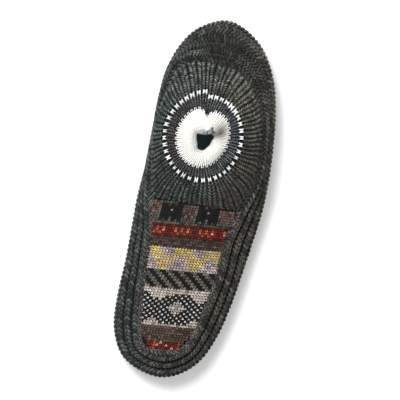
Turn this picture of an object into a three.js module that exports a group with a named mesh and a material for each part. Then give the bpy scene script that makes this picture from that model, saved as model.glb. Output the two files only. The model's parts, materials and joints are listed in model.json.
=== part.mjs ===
// A knitted slipper for the left foot. The upper is knitted whole: a patterned vamp over the
// toes, a ribbed collar drawn in over the ankle and a plain wall down to the sole. A chunky
// garter band is sewn round its foot, a cream cuff closes the collar, and a knitted sole with a
// felt insole closes it underneath.
// Millimetres. +X runs from heel to toe, +Y to the outer side of the foot, +Z up.

import * as THREE from 'three';

// Sizes of the slipper as it lies empty, band included
const slipperLength = 260;
const ballWidth = 88;
const bandHeight = 28;        // top of the band beside the vamp, above the sole's underside
const instepRise = 16;        // crown of the vamp above its two edges, at the throat
const throatBow = 1.0;        // how far the collar's front edge bows toward the toe
const collarRise = 20;        // cuff ring above the top of the band at the collar's sides

// Walls, and the clearance between two knitted pieces that meet
const soleThickness = 5;
const insoleThickness = 3;
const upperWall = 2.5;
const bandWall = 3;
const cuffWall = 2.2;
const fitGap = 0.3;

// Foot of the wall: how far the band tucks in under its widest place, and how high that lies
const bandTuck = 4;
const bulgeHeight = 8;
const footSlope = 65;         // degrees, slope of the wall where it leaves the sole

// Cuff ring, and the mouth that is left when the ribbing draws together
const cuffLength = 42;
const cuffWidth = 38;
const cuffRise = 5.5;
const mouthLength = 13;
const mouthWidth = 12;
const neckDepth = 7;
const ringLean = 18;          // degrees, slope of the knitting where the cuff begins

// Knit relief that shows from a step away
const ribCount = 40;
const ribHeight = 0.9;
const ridgeCount = 5;
const ridgeHeight = 0.8;
const toothHeight = 0.35;

// Underside: flat at heel and ball, lifted a little at the waist and the toe
const toeSpring = 3;
const archLift = 0.8;

// A table is written as rows under named columns.
function table(columns, rows) {
  return rows.map((row) => Object.fromEntries(columns.map((column, i) => [column, row[i]])));
}

// Sections round the slipper, from the heel by the inner side to the toe and back by the outer.
// outX and outY give the band's widest line, seamX and seamY the line where the band's top meets
// collar or vamp, as shares of the length and of half the ball width. seamZ is a share of the
// band's height, and lean the slope of the wall at that seam, in degrees.
const sections = table(
  ['place', 'outX', 'outY', 'seamX', 'seamY', 'seamZ', 'lean'],
  [
    ['heel', 0.0, 0.09, 0.115, 0.02, 1.2, 42],
    ['heel, inner', 0.033, -0.376, 0.116, -0.2, 1.2, 42],
    ['heel corner, inner', 0.083, -0.61, 0.122, -0.425, 1.19, 48],
    ['quarter, inner', 0.153, -0.765, 0.157, -0.63, 1.16, 62],
    ['collar back, inner', 0.235, -0.82, 0.225, -0.725, 1.13, 76],
    ['collar middle, inner', 0.33, -0.825, 0.325, -0.74, 1.12, 80],
    ['collar front, inner', 0.43, -0.84, 0.43, -0.735, 1.11, 76],
    ['throat, inner', 0.521, -0.882, 0.516, -0.67, 1.07, 58],
    ['vamp back, inner', 0.6, -0.886, 0.595, -0.572, 1.02, 45],
    ['ball, inner', 0.696, -0.89, 0.69, -0.54, 1.0, 40],
    ['vamp front, inner', 0.798, -0.92, 0.79, -0.515, 0.98, 40],
    ['toe side, inner', 0.889, -0.885, 0.872, -0.47, 0.95, 42],
    ['toe corner, inner', 0.958, -0.686, 0.92, -0.38, 0.93, 44],
    ['toe quarter, inner', 0.988, -0.4, 0.933, -0.24, 0.92, 45],
    ['toe', 1.0, -0.02, 0.936, -0.04, 0.92, 45],
    ['toe quarter, outer', 0.981, 0.3, 0.926, 0.15, 0.92, 45],
    ['toe corner, outer', 0.938, 0.575, 0.903, 0.3, 0.93, 44],
    ['toe side, outer', 0.867, 0.775, 0.853, 0.412, 0.95, 42],
    ['vamp front, outer', 0.787, 0.9, 0.782, 0.507, 0.98, 40],
    ['ball, outer', 0.701, 0.989, 0.696, 0.6, 1.0, 40],
    ['vamp back, outer', 0.603, 1.075, 0.598, 0.64, 1.02, 44],
    ['throat, outer', 0.507, 1.15, 0.513, 0.785, 1.08, 56],
    ['collar front, outer', 0.417, 1.168, 0.422, 0.95, 1.12, 68],
    ['collar middle, outer', 0.322, 1.144, 0.325, 0.955, 1.13, 70],
    ['collar back, outer', 0.226, 1.08, 0.238, 0.87, 1.15, 64],
    ['quarter, outer', 0.125, 0.92, 0.165, 0.655, 1.18, 54],
    ['heel corner, outer', 0.043, 0.6, 0.122, 0.34, 1.2, 46],
  ],
);

// Collar seen from its four sides: rise is the slope in degrees at which the knitting leaves the
// seam, past 90 where it bulges out over the band, and reach how far it keeps that slope, as a
// share of the way to the cuff ring.
const collarSides = {
  heel: { rise: 58, reach: 0.3 },
  inner: { rise: 138, reach: 0.62 },
  front: { rise: 66, reach: 0.22 },
  outer: { rise: 88, reach: 0.42 },
};
const collarPlace = { x: 0.3335, y: -0.018 };   // centre of the cuff ring
const mouthPlace = { x: 3.2, y: 1.9 };          // centre of the mouth from there

// Soft folds of wall and band: where round the slipper, counted in sections, how far up the
// wall from 0 to 1, half lengths each way, and depth as a share of the band's wall.
const folds = table(
  ['section', 'height', 'along', 'across', 'depth'],
  [
    [26.5, 0.62, 1.2, 0.1, 0.55],
    [0.6, 0.5, 1.1, 0.1, 0.35],
    [3.4, 0.64, 0.6, 0.12, 0.3],
    [24.6, 0.6, 0.7, 0.12, 0.3],
  ],
);

// Cleft of the cuff where its round of knitting closes, at the back
const cleft = { halfAngle: 0.26, inset: 0.13, drop: 0.5 };

// How many steps each stretch of the loop takes. A rib has two columns, its crest and its valley.
const collarColumns = 2 * ribCount;
const throatColumns = 16;
const sideColumns = (collarColumns - throatColumns) / 2;
const vampRows = 12;
const wallHeights = [0, 0.3, 0.54, 0.77, 1];
const bandTop = 0.985;        // the band ends just short of the seam
const collarHeights = [0, 0.12, 0.28, 0.46, 0.64, 0.82, 1];
const cuffSteps = 6;

const up = new THREE.Vector3(0, 0, 1);
const radians = THREE.MathUtils.degToRad;
const mix = THREE.MathUtils.lerp;

function spread(from, to, steps) {
  return Array.from({ length: steps }, (_, i) => mix(from, to, i / steps));
}

function sectionNumber(place) {
  return sections.findIndex((section) => section.place === place);
}

// A closed smooth curve through one value of every section
function roundCurve(pick) {
  const curve = new THREE.CatmullRomCurve3(sections.map(pick), true, 'centripetal');
  return (place) => curve.getPoint(THREE.MathUtils.euclideanModulo(place / sections.length, 1));
}

const outLine = roundCurve(({ outX, outY }) => (
  new THREE.Vector3(outX * slipperLength, outY * ballWidth / 2, 0)));
const seamLine = roundCurve(({ seamX, seamY, seamZ }) => (
  new THREE.Vector3(seamX * slipperLength, seamY * ballWidth / 2, seamZ * bandHeight)));
const leanLine = roundCurve(({ lean }) => new THREE.Vector3(lean, 0, 0));

// Level direction into the slipper, square to a curve that runs round it
function inward(curve, place) {
  const along = curve(place + 0.05).sub(curve(place - 0.05));
  return new THREE.Vector3(-along.y, along.x, 0).normalize();
}

function slope(level, degrees) {
  return level.clone().multiplyScalar(Math.cos(radians(degrees)))
    .addScaledVector(up, Math.sin(radians(degrees)));
}

// Cubic between two points that leaves and arrives along the given directions
function bend(start, leave, end, arrive, share) {
  const control = [start, start.clone().add(leave), end.clone().sub(arrive), end];
  return new THREE.CubicBezierCurve3(...control).getPoint(share);
}

// Outer face of the upper's wall, from its foot on the sole (0) to the seam (1)
const footZ = soleThickness + fitGap;
const wallInset = bandWall + fitGap;

function plainWall(place, height) {
  const into = inward(outLine, place);
  const bulgeShare = wallHeights[1];
  const bulge = outLine(place).addScaledVector(into, wallInset)
    .setZ(footZ + bulgeHeight);
  if (height < bulgeShare) {
    const foot = outLine(place).addScaledVector(into, wallInset + bandTuck).setZ(footZ);
    const rise = slope(into.clone().negate(), footSlope);
    return bend(foot, rise.multiplyScalar(bulgeHeight / 3),
      bulge, up.clone().multiplyScalar(bulgeHeight / 3), height / bulgeShare);
  }
  const seam = seamLine(place);
  const reach = bulge.distanceTo(seam) * 0.38;
  return bend(bulge, up.clone().multiplyScalar(reach),
    seam, slope(inward(seamLine, place), leanLine(place).x).multiplyScalar(reach),
    (height - bulgeShare) / (1 - bulgeShare));
}

function plainNormal(place, height) {
  if (height <= 0) return inward(outLine, place).negate();
  const stepAlong = 0.04;
  const stepUp = 0.01;
  const along = plainWall(place + stepAlong, height).sub(plainWall(place - stepAlong, height));
  const rise = plainWall(place, Math.min(height + stepUp, 1))
    .sub(plainWall(place, height - stepUp));
  return along.cross(rise).normalize();
}

function foldDepth(place, height) {
  return folds.reduce((sum, { section, height: at, along, across, depth }) => {
    const turn = sections.length;
    const away = THREE.MathUtils.euclideanModulo(place - section + turn / 2, turn) - turn / 2;
    return sum + depth * bandWall
      * Math.exp(-((away / along) ** 2) - (((height - at) / across) ** 2));
  }, 0);
}

// A point of the wall moved out along the wall's own normal, folds included
function wallPoint(place, height, out) {
  const normal = plainNormal(place, height);
  const point = plainWall(place, height).addScaledVector(normal, out - foldDepth(place, height));
  return point.setZ(Math.max(point.z, footZ));
}

// Throat: the line over the instep where the vamp meets the collar, from inner to outer side
const innerThroat = sectionNumber('throat, inner');
const outerThroat = sectionNumber('throat, outer');
const innerToe = sectionNumber('toe corner, inner');
const outerToe = sectionNumber('toe corner, outer');

function archShape(across) {
  return 1 - Math.abs(2 * across - 1) ** 2.2;
}

function throatPoint(across) {
  const point = seamLine(innerThroat).lerp(seamLine(outerThroat), across);
  point.x += throatBow * archShape(across);
  point.z += instepRise * archShape(across);
  return point;
}

// Vamp: a patch between the throat, the toe and the two seams, crowned less toward the toe
function vampPoint(along, across) {
  const inner = (share) => seamLine(mix(innerThroat, innerToe, share));
  const outer = (share) => seamLine(mix(outerThroat, outerToe, share));
  const toe = (share) => seamLine(mix(innerToe, outerToe, share));
  const back = seamLine(innerThroat).lerp(seamLine(outerThroat), across);
  back.x += throatBow * archShape(across);
  const point = back.multiplyScalar(1 - along).addScaledVector(toe(across), along);
  point.add(inner(along).lerp(outer(along), across));
  const corners = seamLine(innerThroat).lerp(seamLine(outerThroat), across)
    .multiplyScalar(1 - along)
    .addScaledVector(seamLine(innerToe).lerp(seamLine(outerToe), across), along);
  point.sub(corners);
  point.z += instepRise * archShape(across) * (1 - along ** 5) * (1 - 0.4 * along);
  return point;
}

// Ring where the cuff begins, and the mouth, as seen from their own centres
const ringCentre = new THREE.Vector3(
  collarPlace.x * slipperLength, collarPlace.y * ballWidth / 2,
  sections[sectionNumber('collar middle, inner')].seamZ * bandHeight + collarRise);
const mouthCentre = new THREE.Vector3(
  ringCentre.x + mouthPlace.x, ringCentre.y + mouthPlace.y, ringCentre.z);

function cleftShape(angle) {
  const away = THREE.MathUtils.euclideanModulo(angle, 2 * Math.PI) - Math.PI;
  return Math.exp(-((away / cleft.halfAngle) ** 2));
}

function ovalPoint(centre, lengthways, crossways, angle) {
  const radius = 0.5 * lengthways * crossways
    / Math.hypot(crossways * Math.cos(angle), lengthways * Math.sin(angle));
  return new THREE.Vector3(centre.x + radius * Math.cos(angle),
    centre.y + radius * Math.sin(angle), centre.z);
}

function ringPoint(angle) {
  const inset = 1 - cleft.inset * cleftShape(angle);
  return ovalPoint(ringCentre, cuffLength * inset, cuffWidth * inset, angle);
}

// Foot of each collar column: along the seam from the heel to the inner throat, over the throat,
// and back along the outer seam to the heel
const collarFeet = [
  ...spread(0, innerThroat, sideColumns).map((place) => seamLine(place)),
  ...spread(0, 1, throatColumns).map((across) => throatPoint(across)),
  ...spread(outerThroat, sections.length, sideColumns).map((place) => seamLine(place)),
];
const collarAngles = collarFeet.map((foot) => (
  Math.atan2(foot.y - ringCentre.y, foot.x - ringCentre.x)));

function sideBlend(angle, column) {
  const lengthways = Math.cos(angle) ** 2;
  const end = Math.cos(angle) < 0 ? collarSides.heel : collarSides.front;
  const side = Math.sin(angle) < 0 ? collarSides.inner : collarSides.outer;
  return mix(side[column], end[column], lengthways);
}

function ringWay(column) {
  const ring = ringPoint(collarAngles[column]);
  return { ring, into: ring.clone().sub(collarFeet[column]).setZ(0).normalize() };
}

function collarPoint(column, height) {
  const foot = collarFeet[column];
  const { ring, into } = ringWay(column);
  const angle = collarAngles[column];
  const way = foot.distanceTo(ring);
  const leave = slope(into, sideBlend(angle, 'rise'))
    .multiplyScalar(way * sideBlend(angle, 'reach'));
  return bend(foot, leave, ring, slope(into, ringLean).multiplyScalar(way * 0.4), height);
}

// Ribs stand up on every second column and die away at the seam and toward the cuff
function ribRelief(column, height) {
  const fade = Math.min(1, height / collarHeights[1], (1 - height) / 0.3 + 0.3);
  return (column % 2) * ribHeight * fade;
}

// Cuff: rises from the ring, rolls over and runs down into the mouth
function cuffProfile(column) {
  const { ring, into } = ringWay(column);
  const angle = collarAngles[column];
  const rise = cuffRise * (1 - cleft.drop * cleftShape(angle));
  const mouth = ovalPoint(mouthCentre, mouthLength, mouthWidth, angle);
  const neck = ovalPoint(mouthCentre, mouthLength + 2 * cuffWall, mouthWidth + 2 * cuffWall, angle);
  const start = ring.clone().addScaledVector(slope(into, ringLean), fitGap);
  const between = (share, lift) => ring.clone().lerp(mouth, share).setZ(ringCentre.z + lift * rise);
  return new THREE.CatmullRomCurve3([
    start,
    between(0.24, 0.62),
    between(0.52, 1.0),
    between(0.8, 0.82),
    mouth.clone().setZ(ringCentre.z - 0.25 * neckDepth),
    neck.setZ(ringCentre.z - neckDepth),
  ], false, 'centripetal');
}

// Heel and ball stand flat, the waist and the toe lift off the floor.
function groundLift(x) {
  const share = x / slipperLength;
  const waist = Math.sin(Math.PI * THREE.MathUtils.clamp((share - 0.3) / 0.26, 0, 1)) ** 2;
  return archLift * waist + toeSpring * THREE.MathUtils.clamp((share - 0.84) / 0.16, 0, 1) ** 2;
}

function settled(point) {
  return new THREE.Vector3(point.x, point.y, point.z + groundLift(point.x));
}

function geometryOf(points, faces) {
  const geometry = new THREE.BufferGeometry();
  geometry.setAttribute('position', new THREE.Float32BufferAttribute(
    points.flatMap((point) => settled(point).toArray()), 3));
  geometry.setIndex(faces.flat());
  geometry.computeVertexNormals();
  return geometry;
}

// A quad cut along its shorter diagonal
function quadFaces(points, [a, b, c, d]) {
  return points[a].distanceTo(points[c]) < points[b].distanceTo(points[d])
    ? [[a, b, c], [a, c, d]] : [[a, b, d], [b, c, d]];
}

// A skin is a net of quads whose shared corners are one point. Each corner keeps how far its
// outer face stands up, and at a rim the normal that the two walls there share.
function makeSkin() {
  const points = [];
  const relief = [];
  const rimNormal = [];
  const quads = [];
  const known = new Map();
  const corner = ({ point, raised = 0, normal = null }) => {
    const key = point.toArray().map((value) => Math.round(value * 1000)).join(' ');
    if (!known.has(key)) {
      known.set(key, points.length);
      points.push(point);
      relief.push(raised);
      rimNormal.push(normal);
    }
    return known.get(key);
  };
  const addNet = (rows, closed) => {
    const net = rows.map((row) => row.map(corner));
    for (let r = 0; r + 1 < net.length; r += 1) {
      const columns = net[r].length;
      for (let c = 0; c < (closed ? columns : columns - 1); c += 1) {
        const next = (c + 1) % columns;
        quads.push([net[r][c], net[r][next], net[r + 1][next], net[r + 1][c]]);
      }
    }
  };
  return { points, relief, rimNormal, quads, addNet };
}

function skinNormals({ points, rimNormal, quads }) {
  const sums = points.map(() => new THREE.Vector3());
  for (const quad of quads) {
    const [a, b, c, d] = quad.map((index) => points[index]);
    const area = c.clone().sub(a).cross(d.clone().sub(b));
    quad.forEach((index) => sums[index].add(area));
  }
  return sums.map((sum, index) => (rimNormal[index] ?? sum).clone().normalize());
}

// A wall of even thickness under a skin, with its free edges closed
function thicken(skin, wall) {
  const normals = skinNormals(skin);
  const count = skin.points.length;
  const moved = (way) => skin.points.map((point, i) => (
    point.clone().addScaledVector(normals[i], way(i))));
  const points = [...moved((i) => skin.relief[i]), ...moved(() => -wall)];
  const faces = [];
  const edges = new Map();
  for (const quad of skin.quads) {
    const outer = quadFaces(points, quad);
    faces.push(...outer);
    faces.push(...outer.map(([a, b, c]) => [a + count, c + count, b + count]));
    quad.forEach((from, i) => {
      const to = quad[(i + 1) % 4];
      if (!edges.delete(`${to} ${from}`)) edges.set(`${from} ${to}`, [from, to]);
    });
  }
  for (const [from, to] of edges.values()) {
    faces.push(...quadFaces(points, [to, from, from + count, to + count]));
  }
  return geometryOf(points, faces);
}

// A closed ring of wall between an outer and an inner net with the same columns
function ringSolid(outerRows, innerRows) {
  const rows = [...outerRows, ...[...innerRows].reverse()];
  const columns = rows[0].length;
  const points = rows.flat();
  const faces = [];
  rows.forEach((_, r) => {
    const above = (r + 1) % rows.length;
    for (let c = 0; c < columns; c += 1) {
      const next = (c + 1) % columns;
      faces.push(...quadFaces(points, [
        r * columns + c, r * columns + next, above * columns + next, above * columns + c]));
    }
  });
  return geometryOf(points, faces);
}

// A flat slab from loops that run round it, lowest first. Each end is closed straight across,
// from the inner side to the outer.
function slabSolid(loops) {
  const columns = loops[0].length;
  const points = loops.flat();
  const faces = [];
  for (let r = 0; r + 1 < loops.length; r += 1) {
    for (let c = 0; c < columns; c += 1) {
      const next = (c + 1) % columns;
      faces.push(...quadFaces(points, [
        r * columns + c, r * columns + next, (r + 1) * columns + next, (r + 1) * columns + c]));
    }
  }
  const top = (loops.length - 1) * columns;
  for (let c = 0; c < columns / 2; c += 1) {
    const partner = (columns - c) % columns;
    const strip = c === 0
      ? [[0, 1, columns - 1]]
      : [[c, c + 1, partner], [c + 1, partner - 1, partner]];
    for (const [a, b, d] of strip.filter((face) => new Set(face).size === 3)) {
      faces.push([a, d, b]);
      faces.push([top + a, top + b, top + d]);
    }
  }
  return geometryOf(points, faces);
}

// Places of the loop's columns, from the heel round by the inner side. The vamp's edge points
// and the collar's feet fall on them, so that the nets join.
const loopPlaces = [
  ...spread(0, innerThroat, sideColumns),
  ...spread(innerThroat, innerToe, vampRows),
  ...spread(innerToe, outerToe, throatColumns),
  ...spread(outerToe, outerThroat, vampRows),
  ...spread(outerThroat, sections.length, sideColumns),
];

function loopAt(height, out) {
  return loopPlaces.map((place) => wallPoint(place, height, out));
}

function insetLoop(inset, z) {
  return loopPlaces.map((place) => (
    outLine(place).addScaledVector(inward(outLine, place), inset).setZ(z)));
}

function upperGeometry() {
  const skin = makeSkin();
  skin.addNet(wallHeights.map((height) => loopPlaces.map((place) => ({
    point: height < 1 ? wallPoint(place, height, 0) : seamLine(place),
    normal: height > 0 ? null : plainNormal(place, 0),
  }))), true);
  skin.addNet(spread(0, 1, vampRows).concat(1).map((along) => (
    spread(0, 1, throatColumns).concat(1).map((across) => ({
      point: vampPoint(along, across),
    })).reverse())), false);
  skin.addNet(collarHeights.map((height) => collarFeet.map((_, column) => ({
    point: collarPoint(column, height),
    raised: ribRelief(column, height),
    normal: height < 1 ? null : slope(ringWay(column).into, ringLean + 90),
  }))), true);
  return thicken(skin, upperWall);
}

function bandGeometry() {
  const outer = Array.from({ length: 2 * ridgeCount + 1 }, (_, step) => (
    loopAt(bandTop * step / (2 * ridgeCount), fitGap + bandWall + (step % 2) * ridgeHeight)));
  const inner = wallHeights.map((height) => loopAt(Math.min(height, bandTop), fitGap));
  return ringSolid(outer, inner);
}

function cuffGeometry() {
  const skin = makeSkin();
  const profiles = collarFeet.map((_, column) => cuffProfile(column));
  skin.addNet(Array.from({ length: cuffSteps + 1 }, (_, step) => (
    profiles.map((profile, column) => ({
      point: profile.getPoint(step / cuffSteps),
      raised: step > 0 ? (column % 2) * toothHeight : 0,
      normal: step > 0 ? null : slope(ringWay(column).into, ringLean + 90),
    })))), true);
  return thicken(skin, cuffWall);
}

function soleGeometry() {
  const edge = bandTuck;
  return slabSolid([
    insetLoop(edge + 1.4, 0),
    insetLoop(edge - 0.4, 0.5 * soleThickness),
    insetLoop(edge + 0.2, soleThickness),
  ]);
}

function insoleGeometry() {
  const edge = wallInset + bandTuck + upperWall + fitGap;
  return slabSolid([
    insetLoop(edge + 0.6, footZ),
    insetLoop(edge, footZ + 0.4 * insoleThickness),
    insetLoop(edge + 0.4, footZ + insoleThickness),
  ]);
}

const yarns = {
  sole: { color: 0x33372f, roughness: 0.95, metalness: 0 },
  insole: { color: 0x2c3438, roughness: 1, metalness: 0 },
  upper: { color: 0x4d4c46, roughness: 0.95, metalness: 0 },
  side_band: { color: 0x363a37, roughness: 0.95, metalness: 0 },
  cuff: { color: 0xf0f1ec, roughness: 0.9, metalness: 0 },
};

function makePiece(name, geometry) {
  const piece = new THREE.Mesh(geometry, new THREE.MeshStandardMaterial(yarns[name]));
  piece.name = name;
  return piece;
}

const slipper = new THREE.Group();
slipper.add(
  makePiece('sole', soleGeometry()),
  makePiece('insole', insoleGeometry()),
  makePiece('upper', upperGeometry()),
  makePiece('side_band', bandGeometry()),
  makePiece('cuff', cuffGeometry()),
);

// The origin lies on the floor under the middle of the slipper.
const reach = new THREE.Box3().setFromObject(slipper);
const middle = reach.getCenter(new THREE.Vector3());
slipper.position.set(-middle.x, -middle.y, -reach.min.z);

export default slipper;
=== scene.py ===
"""A knitted slipper for the left foot, dressed in its yarns.

Every knitted face is laid out flat, a stitch at a time, in stitch units. A Geometry Nodes tree
sets a loop of yarn on each place and wraps the whole layout over the curved face it belongs to.
Lengths are millimetres until a mesh is made, and +X runs from heel to toe.
"""
import json
import math

import bpy
import numpy as np
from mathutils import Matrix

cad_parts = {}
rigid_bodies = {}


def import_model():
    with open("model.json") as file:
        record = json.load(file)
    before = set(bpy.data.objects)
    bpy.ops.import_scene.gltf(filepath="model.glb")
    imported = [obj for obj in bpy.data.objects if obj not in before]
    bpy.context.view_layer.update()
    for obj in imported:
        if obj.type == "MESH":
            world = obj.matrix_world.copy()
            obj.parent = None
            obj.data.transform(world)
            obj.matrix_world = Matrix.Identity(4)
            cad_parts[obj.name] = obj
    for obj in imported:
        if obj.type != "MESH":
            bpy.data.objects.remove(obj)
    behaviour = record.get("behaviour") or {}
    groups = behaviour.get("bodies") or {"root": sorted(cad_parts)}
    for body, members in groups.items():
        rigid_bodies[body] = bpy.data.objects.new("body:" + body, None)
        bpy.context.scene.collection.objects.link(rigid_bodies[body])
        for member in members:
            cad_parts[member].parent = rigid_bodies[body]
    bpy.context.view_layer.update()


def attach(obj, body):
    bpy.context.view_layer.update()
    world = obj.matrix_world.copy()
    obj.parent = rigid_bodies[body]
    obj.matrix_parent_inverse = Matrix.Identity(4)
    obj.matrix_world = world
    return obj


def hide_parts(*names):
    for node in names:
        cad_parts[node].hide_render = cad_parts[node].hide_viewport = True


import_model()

MM = 0.001
rng = np.random.default_rng(7)

# Sizes of the slipper, as its solids have them
LENGTH = 260.0
BALL_WIDTH = 88.0
HEEL_X = -0.5 * LENGTH        # heel tip from the middle of the slipper
AXIS_Y = -5.53                # axis through heel and toe tip from the middle
BAND_HEIGHT = 28.0
INSTEP_RISE = 16.0
THROAT_BOW = 1.0
COLLAR_RISE = 20.0
SOLE_THICKNESS = 5.0
INSOLE_THICKNESS = 3.0
UPPER_WALL = 2.5
BAND_WALL = 3.0
CUFF_WALL = 2.2
FIT_GAP = 0.3
BAND_TUCK = 4.0
BULGE_HEIGHT = 8.0
FOOT_SLOPE = 65.0
CUFF_LENGTH = 42.0
CUFF_WIDTH = 38.0
CUFF_RISE = 5.5
MOUTH_LENGTH = 13.0
MOUTH_WIDTH = 12.0
NECK_DEPTH = 7.0
RING_LEAN = 18.0
RIBS = 40
RIDGES = 5
MM_PER_PIXEL = 0.719          # scale of the photograph
PHOTO_PIXELS = 400
TOE_SPRING = 3.0
ARCH_LIFT = 0.8
BULGE_SHARE = 0.3

# White round of stitches: half lengths of its oval, and where its middle lies from the cuff's
WHITE_RING = {"length": 61.8, "width": 54.6, "x": -1.1, "y": 0.6, "jog": 1.9}


def table(columns, rows):
    return [dict(zip(columns, row)) for row in rows]


SECTIONS = table(
    ("place", "out_x", "out_y", "seam_x", "seam_y", "seam_z", "lean"),
    [
        ("heel", 0.0, 0.09, 0.115, 0.02, 1.2, 42),
        ("heel, inner", 0.033, -0.376, 0.116, -0.2, 1.2, 42),
        ("heel corner, inner", 0.083, -0.61, 0.122, -0.425, 1.19, 48),
        ("quarter, inner", 0.153, -0.765, 0.157, -0.63, 1.16, 62),
        ("collar back, inner", 0.235, -0.82, 0.225, -0.725, 1.13, 76),
        ("collar middle, inner", 0.33, -0.825, 0.325, -0.74, 1.12, 80),
        ("collar front, inner", 0.43, -0.84, 0.43, -0.735, 1.11, 76),
        ("throat, inner", 0.521, -0.882, 0.516, -0.67, 1.07, 58),
        ("vamp back, inner", 0.6, -0.886, 0.595, -0.572, 1.02, 45),
        ("ball, inner", 0.696, -0.89, 0.69, -0.54, 1.0, 40),
        ("vamp front, inner", 0.798, -0.92, 0.79, -0.515, 0.98, 40),
        ("toe side, inner", 0.889, -0.885, 0.872, -0.47, 0.95, 42),
        ("toe corner, inner", 0.958, -0.686, 0.92, -0.38, 0.93, 44),
        ("toe quarter, inner", 0.988, -0.4, 0.933, -0.24, 0.92, 45),
        ("toe", 1.0, -0.02, 0.936, -0.04, 0.92, 45),
        ("toe quarter, outer", 0.981, 0.3, 0.926, 0.15, 0.92, 45),
        ("toe corner, outer", 0.938, 0.575, 0.903, 0.3, 0.93, 44),
        ("toe side, outer", 0.867, 0.775, 0.853, 0.412, 0.95, 42),
        ("vamp front, outer", 0.787, 0.9, 0.782, 0.507, 0.98, 40),
        ("ball, outer", 0.701, 0.989, 0.696, 0.6, 1.0, 40),
        ("vamp back, outer", 0.603, 1.075, 0.598, 0.64, 1.02, 44),
        ("throat, outer", 0.507, 1.15, 0.513, 0.785, 1.08, 56),
        ("collar front, outer", 0.417, 1.168, 0.422, 0.95, 1.12, 68),
        ("collar middle, outer", 0.322, 1.144, 0.325, 0.955, 1.13, 70),
        ("collar back, outer", 0.226, 1.08, 0.238, 0.87, 1.15, 64),
        ("quarter, outer", 0.125, 0.92, 0.165, 0.655, 1.18, 54),
        ("heel corner, outer", 0.043, 0.6, 0.122, 0.34, 1.2, 46),
    ],
)
COLLAR_SIDES = {
    "heel": {"rise": 58, "reach": 0.3},
    "inner": {"rise": 138, "reach": 0.62},
    "front": {"rise": 66, "reach": 0.22},
    "outer": {"rise": 88, "reach": 0.42},
}
# How far each curve keeps its lean, as a share of the straight way between its ends
SEAM_REACH = 0.38
RING_REACH = 0.4
COLLAR_PLACE = (0.3335, -0.018)
MOUTH_PLACE = (3.2, 1.9)
CLEFT = {"half_angle": 0.2, "drop": 0.5}
# The soft cuff bulges into two lobes with a cleft between, degrees round from the toe's side
LOBES = table(
    ("name", "angle", "half_width", "share"),
    [("right lobe", 138, 34, 0.13), ("left lobe", 200, 20, 0.07), ("cleft", 178, 9, -0.27),
     ("drawn in", 52, 26, -0.06)],
)
# Mouth of the cuff as it has fallen shut: flat at the back, pointed toward the toe. Its reach from
# its own middle is given every 30 degrees, from the toe's side round by the outer side
MOUTH = {"x": 1.0, "y": 2.2}
MOUTH_REACH = [7.9, 6.1, 5.5, 5.6, 7.9, 7.0, 4.5, 5.2, 7.9, 6.6, 6.2, 8.3]
CREASE = {"angle": 121, "half_width": 17, "depth": 3.4}
# Where the cuff is shaded: degrees round, and share of the way in, with how far it fades each way
CREASE_SHADED = {"width": 22, "way": 0.46, "way_width": 0.4}
HOLLOW_SHADED = {"angle": 172, "width": 34, "way": 0.76, "way_width": 0.13}
# Folds of the slack heel, more of them, narrower and deeper than in the solids. Each lies at a
# section and a share of the way up the wall, and its depth is counted in walls of the band
SOFT_FOLDS = table(
    ("section", "height", "along", "across", "depth"),
    [
        (27.3, 0.67, 0.8, 0.03, 1.4),
        (0.2, 0.72, 0.8, 0.03, 1.4),
        (1.1, 0.68, 0.6, 0.03, 1.2),
        (27.0, 0.9, 0.9, 0.03, 1.3),
        (0.6, 0.87, 0.9, 0.03, 1.4),
        (2.0, 0.8, 0.8, 0.035, 1.3),
        (2.9, 0.9, 0.8, 0.035, 1.1),
        (26.0, 0.72, 0.9, 0.035, 1.2),
        (25.2, 0.88, 0.8, 0.035, 1.0),
        (1.6, 0.5, 0.9, 0.04, 0.9),
        (26.6, 0.48, 0.9, 0.04, 0.9),
        (3.4, 0.7, 0.7, 0.08, 0.5),
        (24.4, 0.75, 0.8, 0.07, 0.5),
    ],
)


def section_number(place):
    return [row["place"] for row in SECTIONS].index(place)


INNER_THROAT = section_number("throat, inner")
OUTER_THROAT = section_number("throat, outer")
INNER_TOE = section_number("toe corner, inner")
OUTER_TOE = section_number("toe corner, outer")
TURN = len(SECTIONS)
COLUMNS = 2 * RIBS
THROAT_COLUMNS = 16
SIDE_COLUMNS = (COLUMNS - THROAT_COLUMNS) // 2


# Curves and faces of the slipper, each a function of one or two running numbers

def unit(vectors):
    return vectors / np.maximum(np.linalg.norm(vectors, axis=-1, keepdims=True), 1e-9)


def stack(*parts):
    return np.stack(np.broadcast_arrays(*parts), axis=-1)


def paired(a, b):
    """Two running numbers as arrays of one shape"""
    return np.broadcast_arrays(np.asarray(a, float), np.asarray(b, float))


def mix(a, b, share):
    return a + (b - a) * share


def curve_between(a, b, c, d, share):
    """Centripetal curve from b to c, which comes from a and goes on to d"""
    before, between, after = (
        np.sqrt(np.linalg.norm(q - p, axis=-1, keepdims=True)) for p, q in ((a, b), (b, c), (c, d)))
    between = np.where(between < 1e-4, 1.0, between)
    before = np.where(before < 1e-4, between, before)
    after = np.where(after < 1e-4, between, after)
    leave = ((b - a) / before - (c - a) / (before + between) + (c - b) / between) * between
    arrive = ((c - b) / between - (d - b) / (between + after) + (d - c) / after) * between
    return (b + leave * share + (3 * (c - b) - 2 * leave - arrive) * share ** 2
            + (2 * (b - c) + leave + arrive) * share ** 3)


def round_curve(values):
    """Closed centripetal curve through one value of every section"""
    points = np.array(values, float)
    count = len(points)

    def at(place):
        place = np.mod(np.asarray(place, float), count)
        first = np.floor(place).astype(int)
        corners = (points[(first + step) % count] for step in (-1, 0, 1, 2))
        return curve_between(*corners, (place - first)[..., None])
    return at


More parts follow.
